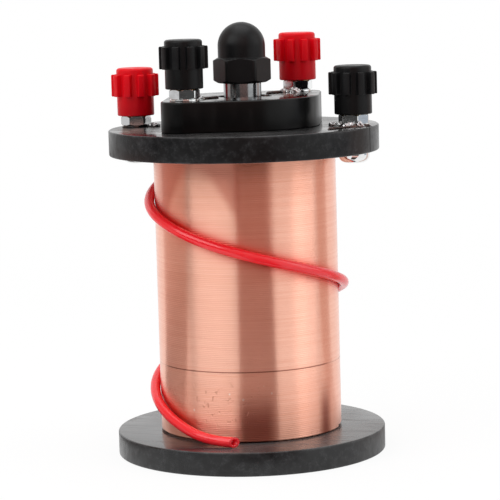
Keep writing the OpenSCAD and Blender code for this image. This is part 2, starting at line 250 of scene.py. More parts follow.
class Finish:
    # a material, or the world, under construction
    def __init__(self, name, store=bpy.data.materials):
        self.owner = store.new(name)
        self.owner.use_nodes = True
        self.tree = self.owner.node_tree
        self.tree.nodes.clear()

    def node(self, kind, sockets=None, settings=None, out=0):
        # a new node: a socket is linked to a Wire, or set to anything else
        node = self.tree.nodes.new("ShaderNode" + kind)
        for key, value in (settings or {}).items():
            setattr(node, key, value)
        for key, value in (sockets or {}).items():
            socket = node.inputs[key]
            if isinstance(value, Wire):
                self.tree.links.new(value.socket, socket)
            elif socket.type == "RGBA":
                socket.default_value = (*value, 1)
            else:
                socket.default_value = value
        return Wire(self, node.outputs[out]) if node.outputs else None

    def maths(self, operation, a, b=0.0):
        return self.node("Math", {0: a, 1: b}, {"operation": operation})

    def apart(self, a, b):
        # the difference without its sign
        return self.maths("ABSOLUTE", a - b)

    def place(self, stretch):
        # object coordinates, each times its own stretch
        spot = self.node("TexCoord", out="Object")
        return self.node("Mapping", {"Vector": spot, "Scale": stretch})

    def noise(self, scale, detail=3, stretch=(1, 1, 1), rough=0.5):
        sockets = {"Vector": self.place(stretch), "Scale": scale, "Detail": detail, "Roughness": rough}
        return self.node("TexNoise", sockets)

    def cells(self, scale, stretch=(1, 1, 1)):
        # distance from the middle of the nearest cell, and a number of that cell's own
        cell = self.node("TexVoronoi", {"Vector": self.place(stretch), "Scale": scale})
        return cell, self.node("SeparateColor", {0: cell.also("Color")})

    def ramp(self, value, low, high):
        # 0 below low, 1 above high, smooth between; low over high turns it round
        return self.node("MapRange", {0: value, 1: low, 2: high}, {"interpolation_type": "SMOOTHSTEP"})

    def mix(self, factor, a, b):
        return self.node("Mix", {0: factor, 6: a, 7: b}, {"data_type": "RGBA"}, out=2)

    def cylinder(self):
        # angle round the axis, distance from it, and height
        x = self.node("SeparateXYZ", {0: self.node("TexCoord", out="Object")})
        y = x.also("Y")
        return self.maths("ARCTAN2", y, x), self.maths("SQRT", x * x + y * y), x.also("Z")

    def bump(self, height, distance, strength):
        return self.node("Bump", {"Height": height, "Distance": distance, "Strength": strength})

    def ends(self, kind, shader):
        # the node that closes the tree, and what it closes
        self.node("Output" + kind, {"Surface": shader})
        return self.owner

    def surface(self, sockets):
        return self.ends("Material", self.node("BsdfPrincipled", sockets))


boardLook = {
    "dark": (0.0045, 0.0045, 0.005),
    "grey": (0.052, 0.052, 0.055),
    # pale colour of the dust on top, with its painted sheen, and of the painted light underneath
    "dust": (0.29, 0.278, 0.274),
    "fleckSize": 1.15 * mm,
    "faceFrom": 0.12 * mm,      # depth where the dust of the top face and the painted light of the underside begin, and where they are full
    "faceFull": 0.02 * mm,
    "wearIn": 0.9 * mm,         # wear of the rim's two edges: how far in and down, and where it is full
    "wearDown": 0.8 * mm,
    "wearFull": 0.1 * mm,
    "rimFrom": 0.3 * mm,        # depth where the rim's own gloss begins
}
boards = {
    "base_flange": {"ior": 1.48, "dustAndSheen": 0.3, "flecked": 1.0},
    "top_flange": {
        "ior": 1.3, "dustAndSheen": 0.15, "flecked": 0.85,
        "crackAngle": -7.2 * degree,    # a fine crack down the rim
        "crackWidth": 0.28 * mm,
        "crackFrom": 1.5 * mm,  # how far in it begins, and where it is full
        "crackFull": 1.0 * mm,
    },
}


def boardFinish(name, node, look, board):
    # black pressed board: dark to grey by the sum of flecks, clouds, grain and worn edges, then to dust and
    # painted sheen on top, and to a paler underside that is painted light; smudged gloss, and a crack that is
    # dark and dull
    f = Finish(name)
    low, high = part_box(node)
    halfHeight = (high.z - low.z) / 2
    angle, distance, z = f.cylinder()
    cell, pick = f.cells(1 / look["fleckSize"])
    fleck = f.ramp(cell, 0.42, 0.10) * f.ramp(pick, 0.62, 0.9)
    clouds = f.noise(160, 4)
    grain = f.noise(480, 4, rough=0.6)
    grit = f.noise(1900, 2)
    smudge = f.noise(45, 3)
    fine = f.noise(2600, 2)
    rubs = f.noise(90, 2, (1, 9, 4))
    rim = f.ramp(distance, high.x - look["rimFrom"], high.x - look["wearFull"])
    rise = f.apart(z, (low.z + high.z) / 2)
    edge = f.ramp(distance, high.x - look["wearIn"], high.x - look["wearFull"])
    edge = edge * f.ramp(rise, halfHeight - look["wearDown"], halfHeight - look["wearFull"])
    # dust on the top face, which on the base also stands for a painted sheen
    dust = f.ramp(z, high.z - look["faceFrom"], high.z - look["faceFull"])
    dust = dust * (0.35 + 0.65 * f.ramp(smudge, 0.35, 0.7))
    # painted light: a paler underside, for the light it reflects from below
    paintedUnderLight = f.ramp(z, low.z + look["faceFrom"], low.z + look["faceFull"])
    paintedUnderLight = paintedUnderLight * (0.6 + 0.4 * f.ramp(clouds, 0.35, 0.7))
    wear = edge * f.ramp(clouds, 0.42, 0.62) * 0.55
    grey = fleck * 0.2 + f.ramp(clouds, 0.45, 0.8) * 0.15 + wear
    grey = grey + f.ramp(grain, 0.42, 0.74) * (0.22 + 0.44 * f.ramp(grit, 0.42, 0.68))
    rough = 0.13 + 0.14 * f.ramp(smudge, 0.35, 0.65) + 0.1 * f.ramp(rubs, 0.45, 0.7) + 0.12 * rim
    if "crackAngle" in board:
        off = f.apart(angle, board["crackAngle"]) * high.x
        crack = f.ramp(off, board["crackWidth"], board["crackWidth"] * 0.4)
        crack = crack * f.ramp(distance, high.x - board["crackFrom"], high.x - board["crackFull"])
        grey = grey * (1 - crack)
        rough = rough + crack * (1 - rough)
    black = f.mix(grey * board["flecked"], look["dark"], look["grey"])
    return f.surface({
        "Base Color": f.mix(dust * board["dustAndSheen"] + paintedUnderLight, black, look["dust"]),
        "Roughness": rough,
        "Normal": f.bump(fine * 0.6 + clouds * 5 + fleck * 0.4, 0.006 * mm, 0.4),
        "IOR": board["ior"],
    })


wirePitch = 0.545       # from turn to turn of the secondary's outer layer, in mm
seamHeight = 27.8       # of the ring where two lengths of its wire meet

windingLook = {
    "copper": (0.965, 0.53, 0.40),
    "deep": (0.855, 0.38, 0.26),
    "rust": (0.24, 0.05, 0.028),
    "speck": (1.0, 0.85, 0.75),
    "sleeveReflection": (0.8, 0.05, 0.045),        # painted red reflection of the sleeve in the wire beside it
    "endShade": 0.35,
    "endShadeTop": (66 * mm, 90 * mm),      # heights over which painted shade darkens the copper towards its two ends, next to the flanges
    "endShadeFoot": (30 * mm, 11 * mm),
    "seamWidth": 0.26 * mm,
    "seamAngle": -76.5 * degree,        # the middle of the stretch where the seam is dark
    "seamReach": (64 * degree, 56 * degree),    # how far from there it starts and is full
    "dentAngle": -87 * degree,          # a patch of small dents, and how far from there it starts and is full
    "dentAside": (0.62, 0.2),
    "dentHeight": 18 * mm,
    "dentAbove": (9 * mm, 3 * mm),
    "paintedDark": (0.25, 0.06, 0.042),
    # painted dark reflection at the foot, in brown: angle of its middle, and how far from there it starts and
    # is full
    "paintedDarkSpans": ((-70 * degree, 16 * degree, 6 * degree), (-19 * degree, 8 * degree, 0.5 * degree)),
    "paintedDarkRise": (25 * mm, 13 * mm),  # the height where it starts, and where it is full
    "flangeShade": (0.70, 0.27, 0.19),         # painted shade of the top flange: deeper copper under it, outside a bright arch
    "archTop": 86 * mm,
    "archAngle": -105.5 * degree,
    "archFall": 70 * mm,        # drop of the arch's edge to each side, for each radian squared
    "archSoft": 3.5 * mm,
    # angles where the top flange's painted shade fades in, from each side
    "archReach": ((-160 * degree, -135 * degree), (-74 * degree, -80 * degree)),
    "archRise": (66 * mm, 80 * mm),
}


def windingFinish(name, look):
    # bare bright wire: every turn a little different, fine streaks along it, a dark seam and a dented patch;
    # painted shade towards both ends, and the top flange's painted shade above the edge z = top - fall *
    # angle squared; painted dark reflections in brown in places at the foot; a painted red reflection of the
    # sleeve beside it
    f = Finish(name)
    angle, z = f.cylinder()[::2]
    count = z * (-1 / (wirePitch * mm)) - angle * (1 / (2 * math.pi))
    shade = f.node("TexWhiteNoise", {"W": f.maths("FLOOR", count)}, {"noise_dimensions": "1D"})
    streak = f.noise(70, 4, (1, 1, 26))
    blotch = f.noise(38, 3)
    seam = f.ramp(f.apart(z, seamHeight * mm), look["seamWidth"], look["seamWidth"] * 0.4)
    seam = seam * (0.2 + 0.8 * f.ramp(f.apart(angle, look["seamAngle"]), *look["seamReach"]))
    patch = f.ramp(f.apart(angle, look["dentAngle"]), *look["dentAside"])
    patch = patch * f.ramp(f.apart(z, look["dentHeight"]), *look["dentAbove"])
    dent = f.ramp(f.noise(640, 2, (1, 1, 0.75), rough=0.6), 0.6, 0.7) * patch
    cell, pick = f.cells(520, (1, 1, 0.8))
    speck = f.ramp(cell, 0.2, 0.1) * f.ramp(pick, 0.9, 0.94) * (0.2 + patch)
    # painted shade towards both ends, next to the flanges; the sum below also holds each turn's own tone and
    # streaks
    ends = look["endShade"] * (f.ramp(z, *look["endShadeTop"]) + f.ramp(z, *look["endShadeFoot"]))
    dull = 0.22 * shade + 0.22 * f.ramp(streak, 0.42, 0.7) + 0.12 * f.ramp(blotch, 0.45, 0.75) + ends
    colour = f.mix(dull, look["copper"], look["deep"])
    colour = f.mix(dent * 0.14, colour, look["rust"])
    colour = f.mix(0.6 * f.ramp(speck, 0.1, 0.5), colour, look["speck"])
    colour = f.mix(seam * 0.75, colour, look["rust"])
    # painted shade of the top flange, outside the arch where the light still reaches the wire
    aside = angle - look["archAngle"]
    over = z + aside * aside * look["archFall"]
    flangeShade = f.ramp(over, look["archTop"] - look["archSoft"], look["archTop"] + look["archSoft"])
    for reach in look["archReach"]:
        flangeShade = flangeShade * f.ramp(angle, *reach)
    colour = f.mix(flangeShade * f.ramp(z, *look["archRise"]), colour, look["flangeShade"])
    # painted dark reflections at the foot, broken up by the blotches
    for middle, *reach in look["paintedDarkSpans"]:
        brown = f.ramp(f.apart(angle, middle), *reach)
        brown = brown * f.ramp(z, *look["paintedDarkRise"]) * (0.6 + 0.3 * blotch)
        colour = f.mix(brown, colour, look["paintedDark"])
    # painted red reflection of the sleeve, as a share stored on the wire's points
    near = f.node("Attribute", None, {"attribute_name": "sleeve_reflection_share"}, out="Fac")
    return f.surface({
        "Base Color": f.mix(near, colour, look["sleeveReflection"]),
        "Metallic": 1.0,
        "Roughness": 0.285 + 0.03 * shade + 0.03 * f.ramp(blotch, 0.4, 0.7) + 0.2 * dent,
        "Anisotropic": 1.0,
        "Anisotropic Rotation": 0.25,
        "Normal": f.bump(streak * 0.2 - dent * 2.5, 0.05 * mm, 0.5),
    })


plasticLooks = {
    "knob_red_plastic": {
        "colour": (0.71, 0.002, 0.009), "worn": (0.75, 0.006, 0.015), "shade": (0.36, 0.001, 0.006),
        "rough": 0.36, "gloss": 0.12, "glow": 0.5, "depth": 1.5 * mm,
    },
    "knob_black_plastic": {
        "colour": (0.005, 0.005, 0.0055), "worn": (0.012, 0.012, 0.013), "shade": (0.002, 0.002, 0.002),
        "rough": 0.34, "gloss": 0.17, "glow": 0.0, "depth": 1.5 * mm,
    },
    "sleeve_red_vinyl": {
        "colour": (0.95, 0.008, 0.018), "worn": (0.96, 0.018, 0.03),
        "rough": 0.16, "gloss": 0.65, "glow": 0.2, "depth": 1.0 * mm,
    },
    "cap_black_gloss": {
        "colour": (0.0015, 0.0015, 0.0016), "worn": (0.006, 0.006, 0.0063),
        "rough": 0.3, "gloss": 0.2, "glow": 0.0, "depth": 1.5 * mm,
    },
}


skinLook = {
    "dustSize": 1.6 * mm,
    "polishFrom": 0.3 * mm,     # depth where the polish of a top begins, and where it is full
    "polishFull": 0.02 * mm,
    "shadeAbove": 1.2 * mm,     # from the skirt's top to where its shade begins, and where it is full
    "shadeBelow": 0.8 * mm,
    "shadeFoot": 7 * mm,        # depth over which the shade goes on growing
}


def plasticFinish(name, look, skirtTop=None, polishedTop=None, skin=skinLook):
    # moulded plastic: clouds in the colour, dust, uneven gloss and a fine skin; the cap's top is polished,
    # and a knob has painted shade below the top of its skirt, where its ribs overhang it
    f = Finish(name)
    clouds = f.noise(110, 3)
    pores = f.noise(3200, 2)
    rubs = f.noise(260, 3, (1, 1, 0.3))
    cell, pick = f.cells(1 / skin["dustSize"])
    dust = f.ramp(cell, 0.16, 0.07) * f.ramp(pick, 0.8, 0.9)
    worn = 0.3 * f.ramp(clouds, 0.4, 0.75) + 0.35 * f.ramp(rubs, 0.55, 0.75) + 0.5 * dust
    rough = look["rough"] + 0.1 * f.ramp(rubs, 0.45, 0.7) + 0.15 * dust
    colour = f.mix(worn, look["colour"], look["worn"])
    z = f.cylinder()[2]
    if polishedTop:
        rough = rough - 0.15 * f.ramp(z, polishedTop - skin["polishFrom"], polishedTop - skin["polishFull"])
    if skirtTop:
        # painted shade on the skirt, under the ribs' overhang
        dim = 0.24 * f.ramp(z, skirtTop + skin["shadeAbove"], skirtTop - skin["shadeBelow"])
        dim = dim + 0.34 * f.ramp(z, skirtTop, skirtTop - skin["shadeFoot"])
        colour = f.mix(dim, colour, look["shade"])
    return f.surface({
        "Base Color": colour,
        "Roughness": rough,
        "Normal": f.bump(pores + clouds * 2, 0.012 * mm, 0.4),
        "Specular IOR Level": look["gloss"],
        "Subsurface Weight": look["glow"],
        "Subsurface Radius": (1.0, 0.15, 0.12),
        "Subsurface Scale": look["depth"],
    })


metalLooks = {
    # the lines are the stretch of the tool marks
    "bright_plating": {"colour": (0.84, 0.85, 0.85), "dull": (0.55, 0.54, 0.52), "rough": 0.07, "lines": 5},
    "solder_grey": {"colour": (0.56, 0.56, 0.57), "dull": (0.22, 0.21, 0.20), "rough": 0.3, "lines": 1},
    "soft_iron": {"colour": (0.34, 0.355, 0.365), "dull": (0.17, 0.178, 0.18), "rough": 0.15, "lines": 12},
    "insert_brass_metal": {
        "colour": (0.80, 0.60, 0.27), "dull": (0.50, 0.35, 0.14), "rough": 0.28, "lines": 8,
    },
}
# the outer lugs are plated too, and the one on the left has a painted dark reflection of the flange
metalLooks["lug_plating"] = dict(metalLooks["bright_plating"], paintedDark=(0.06, 0.05, 0.048))


def metalFinish(name, look):
    # turned or plated metal: tool lines round it, dull patches, small pits; a painted dark reflection where
    # cos(angle) < 0
    f = Finish(name)
    lines = f.noise(420, 3, (1, 1, look["lines"]))
    patches = f.noise(190, 3)
    pits = f.noise(2400, 2)
    dull = 0.55 * f.ramp(patches, 0.45, 0.72) + 0.3 * f.ramp(lines, 0.5, 0.75)
    colour = f.mix(dull, look["colour"], look["dull"])
    if "paintedDark" in look:
        # painted dark reflection of the flange, on the lug on the left
        left = f.ramp(f.maths("COSINE", f.cylinder()[0]), 0.1, -0.1)
        colour = f.mix(0.95 * left, colour, look["paintedDark"])
    return f.surface({
        "Base Color": colour,
        "Metallic": 1.0,
        "Roughness": look["rough"] + 0.05 * f.ramp(patches, 0.4, 0.7) + 0.04 * f.ramp(pits, 0.5, 0.7),
        "Normal": f.bump(lines + pits * 0.3, 0.008 * mm, 0.4),
    })


enamelLook = {"colour": (0.025, 0.008, 0.005), "light": (0.085, 0.027, 0.014)}


def enamelFinish(name, look):
    # enamelled wire and burnt flux: brown with lighter, thinner places under a gloss
    f = Finish(name)
    thin = f.noise(700, 3)
    bits = f.noise(2600, 2)
    return f.surface({
        "Base Color": f.mix(f.ramp(thin, 0.42, 0.68), look["colour"], look["light"]),
        "Roughness": 0.2 + 0.3 * f.ramp(bits, 0.4, 0.7),
        "Normal": f.bump(thin, 0.05 * mm, 0.5),
    })


primaryLook = {"copper": (0.72, 0.27, 0.12), "deep": (0.46, 0.13, 0.05)}


def primaryFinish(name, look):
    # heavier enamelled wire: deep copper under a clear varnish
    f = Finish(name)
    streak = f.noise(80, 4, (1, 1, 14))
    blotch = f.noise(60, 3)
    dull = 0.6 * f.ramp(streak, 0.4, 0.7) + 0.3 * f.ramp(blotch, 0.45, 0.7)
    return f.surface({
        "Base Color": f.mix(dull, look["copper"], look["deep"]),
        "Metallic": 1.0,
        "Roughness": 0.22 + 0.12 * f.ramp(blotch, 0.4, 0.7),
        "Coat Weight": 0.5,
        "Coat Roughness": 0.1,
        "Normal": f.bump(streak, 0.04 * mm, 0.5),
    })


tubeLook = {"colour": (0.36, 0.25, 0.13), "dark": (0.21, 0.13, 0.06)}


def tubeFinish(name, look):
    # varnished card tube: fibres along it and a mottled brown
    f = Finish(name)
    fibre = f.noise(500, 4, (1, 1, 0.25))
    mottle = f.noise(120, 3)
    tint = 0.6 * f.ramp(fibre, 0.4, 0.7) + 0.4 * f.ramp(mottle, 0.4, 0.7)
    return f.surface({
        "Base Color": f.mix(tint, look["colour"], look["dark"]),
        "Roughness": 0.5 + 0.25 * mottle,
        "Normal": f.bump(fibre, 0.06 * mm, 0.6),
    })


capFoot, capTop = nodeSize("primary_cap")[1:]
baseBoard = boardFinish("base_board", "base_flange", boardLook, boards["base_flange"])
topBoard = boardFinish("top_board", "top_flange", boardLook, boards["top_flange"])
windingCopper = windingFinish("bright_winding", windingLook)
primaryCopper = primaryFinish("varnished_wire", primaryLook)
sleeveVinyl = plasticFinish("sleeve_red_vinyl", plasticLooks["sleeve_red_vinyl"])
capPlastic = plasticFinish("cap_black_gloss", plasticLooks["cap_black_gloss"], polishedTop=capTop * mm)
domePlastic = plasticFinish("dome_black_plastic", plasticLooks["knob_black_plastic"])
metals = {name: metalFinish(name, look) for name, look in metalLooks.items()}
enamel = enamelFinish("lead_enamel_brown", enamelLook)
tubeCard = tubeFinish("tube_card_brown", tubeLook)
print("finishes made")


# Red sleeve that shows the winding's direction

sleevePlan = {
    "diameter": 3.0,
    "bore": 1.6,
    "hugRadius": 28.6,   # the sleeve's middle where it lies on the winding
    "steps": 10,         # rings between stations
    "cutSlant": 0.75,    # the free end is cut aslant, so much of its length for each mm across
    "cutReach": 3.0,
    "lip": 0.6,          # how far a lip stands out, as a share of half the wall
    "lipTurn": 75,       # degrees that it rounds over to each side
    "lipRings": 6,
    "sides": 24,
    # direction in degrees, distance out from the winding, height above the base, in mm
    "stations": [
        (143, 0, 82.4), (143, 0, 79.4), (146, 0, 77.4), (152, 0, 75.7), (160, 0, 74.3),
        (180, 0, 71.3), (225, 0, 64.5), (270, 0, 57.4), (315, 0, 51.1), (360, 0, 44.9),
        (405, 0, 38.4), (450, 0, 31.2), (495, 0, 23.5), (540, 0, 15.6), (570, 0.05, 10.4),
        (600, 0.9, 5.2), (618, 2.6, 2.7), (630, 3.7, 1.8), (638, 4.3, 1.6),
    ],
}


def sleeveRoute(plan, baseTop):
    # a cubic through the stations: 0.5 (2b + (c-a)t + (2a-5b+4c-d)t^2 + (3b-a-3c+d)t^3)
    s = np.array(plan["stations"], float)
    s = np.vstack([2 * s[0] - s[1], s, 2 * s[-1] - s[-2]])
    t = (np.arange(plan["steps"]) / plan["steps"])[None, :, None]
    a, b, c, d = (s[k:len(s) - 3 + k, None] for k in range(4))
    curve = 0.5 * (2 * b + (c - a) * t + (2 * a - 5 * b + 4 * c - d) * t**2 + (3 * b - a - 3 * c + d) * t**3)
    curve = np.vstack([curve.reshape(-1, 3), s[-2:-1]])
    return ringPoints(plan["hugRadius"] + curve[:, 1], baseTop + curve[:, 2], np.radians(curve[:, 0]))


def sleeveShape(plan, route):
    # outside from end to end, a round lip, the bore back again, and a lip at the start;
    # near the free end each point slides along by its distance outwards, so the cut is aslant
    along = unit(np.gradient(route, axis=0))
    out = route * (1, 1, 0)
    side = unit(out - (out * along).sum(axis=1, keepdims=True) * along)
    up = np.cross(along, side)
    outer = plan["diameter"] / 2
    inner = plan["bore"] / 2
    wall = (outer - inner) / 2
    lip = np.radians(np.linspace(plan["lipTurn"], -plan["lipTurn"], plan["lipRings"]))
    lipRadius = (outer + inner) / 2 + wall * np.sin(lip)
    lipAhead = wall * plan["lip"] * (np.cos(lip) - 1)
    count = len(route)
    level = np.zeros(count)
    rows = np.concatenate([
        np.arange(count), np.full(len(lip), count - 1), np.arange(count)[::-1], np.zeros(len(lip), int),
    ])
    radius = np.concatenate([level + outer, lipRadius, level + inner, lipRadius[::-1]])
    ahead = np.concatenate([level, lipAhead, level, -lipAhead])
    angle = around(plan["sides"])[None, :, None]
    across = np.cos(angle) * side[rows, None] + np.sin(angle) * up[rows, None]
    run = np.concatenate([[0], np.cumsum(np.linalg.norm(np.diff(route, axis=0), axis=1))])
    slant = plan["cutSlant"] * np.clip(1 - (run[-1] - run[rows]) / plan["cutReach"], 0, 1)
    ahead = ahead[:, None] - slant[:, None] * radius[:, None] * np.cos(angle[..., 0])
    rings = route[rows][:, None] + ahead[..., None] * along[rows][:, None] + radius[:, None, None] * across
    return gridShape(rings, wrapRows=True)


route = sleeveRoute(sleevePlan, nodeSize("base_flange")[2])
sleeve = makePiece(
    "direction_sleeve_tube", sleeveShape(sleevePlan, route), sleeveVinyl,
    "secondary", ["direction_sleeve"],
)


# Bobbin

play = 0.05     # between pieces that are pushed together, in mm
cardWall = 1.5  # thickness of the bobbin's tube
tubeRadius = nodeSize("bobbin_tube")[0]
flangePlan = {"bore": tubeRadius + play, "edgeRound": 0.45, "boreRound": 0.2, "columns": 256}
tubePlan = {"bore": tubeRadius - cardWall, "edgeRound": 0.3, "boreRound": 0.15, "columns": 192}
layersPlan = {"bore": tubeRadius + play, "edgeRound": 0.2, "boreRound": 0.15, "columns": 192}
makeRing("base_flange_board", "base_flange", baseBoard, "secondary", flangePlan)
makeRing("top_flange_board", "top_flange", topBoard, "secondary", flangePlan)
makeRing("bobbin_card_tube", "bobbin_tube", tubeCard, "secondary", tubePlan)
makeRing(
    "secondary_under_layers", "secondary_inner_layers", windingCopper,
    "secondary", layersPlan,
)
print("bobbin made")


# Windings of wire

windingPlan = {
    "pitch": wirePitch,
    "width": 0.996,          # share of the pitch that a turn fills, so that turns don't share points
    "crown": 0.028,          # how far the wire stands out between the hollows, filled by varnish
    "depth": 0.2,            # how deep it goes behind them
    "columns": 100,          # rings to a turn
    "section": (0, 60, 90, 180, 270, 300),
    "unevenness": 0.004,     # how far one turn stands proud of the next
    "seed": 4,
    "seamHeight": seamHeight,
    "seamDepth": 0.05,
    "seamSpread": 0.45,      # in pitches
}
primaryPlan = {
    "pitch": 1.3,
    "width": 0.996,
    "crown": 0.45,
    "depth": 0.5,
    "columns": 72,
    "section": (0, 45, 90, 180, 270, 315),
    "unevenness": 0.03,
    "seed": 4,
    "seamHeight": 0.0,
    "seamDepth": 0.0,        # it has no seam
    "seamSpread": 0.45,
    "layersRound": 0.2,
}


def wireShape(plan, radius, low, high):
    # a helix from the top down, z = top - pitch (turns + 1/2), with an oval section on it;
    # each turn stands in or out by its own small amount, and the seam's turn lies deeper
    pitch = plan["pitch"]
    turns = math.floor((high - low) / pitch) - 1
    slack = (high - low - pitch * (turns + 1)) / 2
    along = np.arange(turns * plan["columns"] + 1) / plan["columns"]
    z = high - slack - pitch * (along + 0.5)
    jitter = np.random.default_rng(plan["seed"]).normal(0, plan["unevenness"], turns + 2)
    proud = np.clip(np.interp(along, np.arange(turns + 2), jitter), -2 * plan["unevenness"], 0)
    fromSeam = (z - plan["seamHeight"]) / (plan["seamSpread"] * pitch)
    proud -= plan["seamDepth"] * np.exp(-(fromSeam ** 2))
    section = np.radians(plan["section"])
    reach = np.where(np.cos(section) > 0, plan["crown"], plan["depth"])
    r = radius - plan["crown"] + proud[:, None] + reach * np.cos(section)
    height = z[:, None] + plan["width"] * pitch / 2 * np.sin(section)
    return gridShape(ringPoints(r, height, 2 * np.pi * along[:, None]))


sleeveReflectionPlan = {"most": 0.9, "fade": 1.3, "lift": 1.2}     # share of painted red reflection beside the sleeve; mm it fades in


def sleeveReflectionShare(plan, verts, route, sleeveRadius, wireRadius):
    # painted red reflection of the sleeve on the wire, as a share at each point:
    # most * exp(-gap / fade - lift / its fade): gap is the height from the sleeve's side, on the first
    # or the second turn of the sleeve, and lift the space between the sleeve and the wire
    place = np.degrees(np.unwrap(np.arctan2(route[:, 1], route[:, 0])))
    spot = np.mod(np.degrees(np.arctan2(verts[:, 1], verts[:, 0])), 360)[:, None] + np.array([0, 360])
    lift = np.linalg.norm(route[:, :2], axis=1) - sleeveRadius - wireRadius
    gap = np.abs(verts[:, 2:] - np.interp(spot, place, route[:, 2])) - sleeveRadius
    away = np.clip(gap, 0, None) / plan["fade"] + np.interp(spot, place, lift) / plan["lift"]
    beside = (spot >= place[0]) & (spot <= place[-1])
    return plan["most"] * np.where(beside, np.exp(-away), 0).max(axis=1)


outerSize = nodeSize("secondary_outer_layer")
wire = wireShape(windingPlan, *outerSize)
winding = makePiece(
    "secondary_fine_winding", wire, windingCopper,
    "secondary", ["secondary_outer_layer"], sharp=50,
)
# painted red reflection of the sleeve, stored on the winding's points
near = sleeveReflectionShare(sleeveReflectionPlan, wire[0], route, sleevePlan["diameter"] / 2, outerSize[0])
sleeveReflection = winding.data.attributes.new("sleeve_reflection_share", "FLOAT", "POINT")
sleeveReflection.data.foreach_set("value", near.astype(np.float32))
radius, foot, top = nodeSize("primary_winding")
outside = radius - primaryPlan["crown"] - primaryPlan["depth"] - play
inside = nodeSize("primary_tube")[0] + play
layers = ringSolid(outside, inside, foot, top, primaryPlan["layersRound"])
makePiece(
    "primary_wire_turns", joined([wireShape(primaryPlan, radius, foot, top), layers]), primaryCopper,
    "primary", ["primary_winding"], sharp=120,
)
print("windings wound")


# Primary's cap, tube and collar

capPlan = {
    "midRadius": 22.6,
    "endRadius": 7.0,
    "reach": 23.3,       # from the axis to the middle of a round end
    "angle": 61.0,       # of the long axis, in degrees
    "bore": 5.9,
    "mouth": 7.6,        # a wider mouth round the rod
    "mouthDepth": 1.6,
    "mouthEdge": 0.2,    # how much the mouth and the bore open at the faces
    "boreEdge": 0.3,
    "edgeRound": 0.55,
    "footRound": 0.3,
    "arcSteps": 40,
}


def capShape(plan, low, high):
    # outline: two end arcs and two middle arcs with common tangents; each arc point also gives its normal,
    # and the rows draw the outline in along that normal as the edge rounds over
    lean = math.degrees(math.acos((plan["midRadius"] - plan["endRadius"]) / plan["reach"]))
    spans = np.array([(-lean, lean), (lean, 180 - lean), (180 - lean, 180 + lean), (180 + lean, 360 - lean)])
    centres = np.array([(plan["reach"], 0), (0, 0), (-plan["reach"], 0), (0, 0)])
    radii = np.array([plan["endRadius"], plan["midRadius"]] * 2)
    share = np.linspace(0, 1, plan["arcSteps"])
    angle = np.radians(spans[:, :1] + (spans[:, 1:] - spans[:, :1]) * share)
    normal = np.stack([np.cos(angle), np.sin(angle)], -1)
    outline = (centres[:, None] + radii[:, None, None] * normal).reshape(-1, 2)
    inset, z = easedSide(plan["footRound"], plan["edgeRound"], low, high, 7)
    side = outline[None] - inset[:, None, None] * normal.reshape(-1, 2)[None]
    step = high - plan["mouthDepth"]
    mouth = plan["mouth"]
    bore = plan["bore"]
    boreRadius = np.array([mouth + plan["mouthEdge"], mouth, mouth, bore, bore, bore + plan["boreEdge"]])
    boreZ = np.array([high, high - plan["mouthEdge"], step, step, low + plan["boreEdge"], low])
    points = np.concatenate([side, boreRadius[:, None, None] * unit(outline)[None]])
    heights = np.broadcast_to(np.concatenate([z, boreZ])[:, None, None], (*points.shape[:2], 1))
    return gridShape(turned(np.concatenate([points, heights], -1), plan["angle"]), wrapRows=True)


makePiece(
    "primary_cap_plate", capShape(capPlan, capFoot, capTop), capPlastic,
    "primary", ["primary_cap"],
)
coreTubePlan = {"bore": capPlan["bore"], "edgeRound": 0.2, "boreRound": 0.15, "columns": 192}
makeRing("primary_card_tube", "primary_tube", tubeCard, "primary", coreTubePlan)
collarPlan = {"edgeRound": 0.5}
collar = discSolid(*nodeSize("primary_end_collar"), collarPlan["edgeRound"])
makePiece("primary_collar_disc", collar, tubeCard, "primary", ["primary_end_collar"])
print("primary made")


# Core and its knob

corePlan = {
    "rod": 11.2, "spigot": 8.0, "endRound": 0.8, "shoulderRound": 0.2, "spigotEdge": 0.3, "columns": 128,
}
coreFoot, coreTop = nodeSize("iron_core")[1:]
knobLevel = nodeSize("core_knob")[1]


def coreShape(plan, low, shoulder, high):
    # rod with a round lower end, a shoulder under the knob and a thinner end inside it
    spigot = plan["spigot"] / 2
    edge = plan["spigotEdge"]
    inset, z = easedSide(plan["endRound"], plan["shoulderRound"], low, shoulder, 7)
    r = np.concatenate([plan["rod"] / 2 - inset, [spigot, spigot, spigot - edge]])
    return lathe(r, np.concatenate([z, [shoulder, high - edge, high]]), plan["columns"])


makePiece(
    "iron_core_rod", coreShape(corePlan, coreFoot, knobLevel, coreTop), metals["soft_iron"],
    "core", ["iron_core"],
)

coreKnobPlan = {
    "acrossFlats": 15.0,
    "hexHeight": 7.4,
    "turn": 14.0,           # in degrees
    "cornerCut": 0.985,     # corners eased to this share of their reach
    "chamferRadius": 7.25,
    "domeRadius": 7.0,
    "domeStraight": 3.4,
    "holeRadius": 4.05,
    "holeDepth": 9.05,
    "edge": 0.2,            # of the hole and of the hexagon's foot
    "hexEase": 0.05,        # from each face of the hexagon to where its cone begins
    "hexInset": 0.08,       # from the cone's rim in to the flat round the dome
    "neckOut": 0.06,        # the fillet at the dome's foot: how far out, and the heights of its two rings
    "neckUp": (0.03, 0.15),
    "domeEnd": 88,          # degrees up the dome to its last ring
    "domeRings": 23,
    "columns": 192,
}


def hexCone(plan, rings=6):
    # radii from the chamfer out to a corner, and how far from the face a cone of 30 degrees is there
    corner = plan["acrossFlats"] / 2 / math.cos(math.pi / 6)
    limit = np.linspace(plan["chamferRadius"], corner, rings)
    return limit, (limit - plan["chamferRadius"]) * math.tan(math.pi / 6)


def hexReach(angle, plan):
    # distance to a hexagon's side: half its width over the cosine of the angle from the flat's middle,
    # with a corner in the direction 0
    half = plan["acrossFlats"] / 2
    apart = np.mod(angle, np.pi / 3) - np.pi / 6
    return np.minimum(half / np.cos(apart), half / math.cos(math.pi / 6) * plan["cornerCut"])


